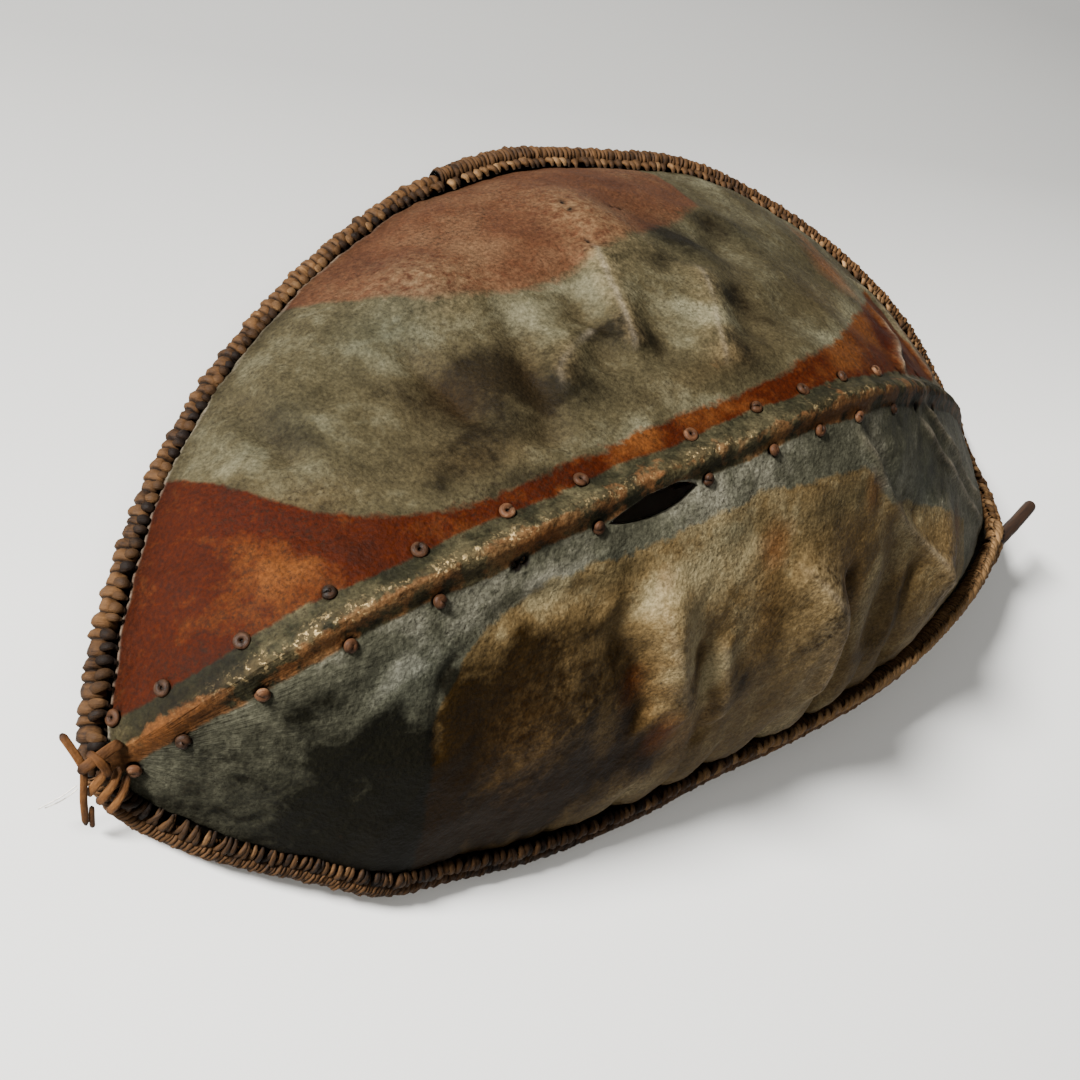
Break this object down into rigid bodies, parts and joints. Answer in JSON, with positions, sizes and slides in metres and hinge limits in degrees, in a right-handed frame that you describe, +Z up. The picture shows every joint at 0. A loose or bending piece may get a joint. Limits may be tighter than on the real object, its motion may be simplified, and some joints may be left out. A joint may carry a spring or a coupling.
{
  "type": "hide shield",
  "caption": "Pointed oval hide shield, domed over a long stave, with a thong-bound rolled rim and traditional painted fields.",
  "frame": {"origin": "middle of the shield's footprint box, on the surface it lies on, face up", "axes": "+X along the stave from the knotted tip to the other tip, +Y towards the wider side, +Z up out of the painted face"},
  "size_m": [0.9925, 0.5062, 0.214],
  "materials": {
    "hide": "painted rawhide, worn satin",
    "thong": "twisted hide thong, dull",
    "pale_thong": "newer hide thong, dull",
    "wood": "bare hardwood, handled",
    "thread": "sinew thread"
  },
  "bodies": {
    "root": {"hide_panel": "hide", "center_stave": "wood", "rim_rod_end": "wood", "rim_roll_near_left": "thong", "rim_roll_near": "thong", "rim_roll_far_right": "thong", "rim_roll_far_left": "thong", "lace_01": "thong", "lace_02": "thong", "lace_03": "thong", "lace_04": "thong", "lace_05": "thong", "lace_06": "thong", "lace_07": "thong", "lace_08": "thong", "lace_09": "thong", "lace_10": "thong", "lace_11": "thong", "lace_12": "thong", "tip_tie_far": "pale_thong", "tip_tie_near": "pale_thong", "tip_hoop_1": "pale_thong", "tip_hoop_2": "pale_thong", "tip_thread": "thread"}
  },
  "joints": []
}
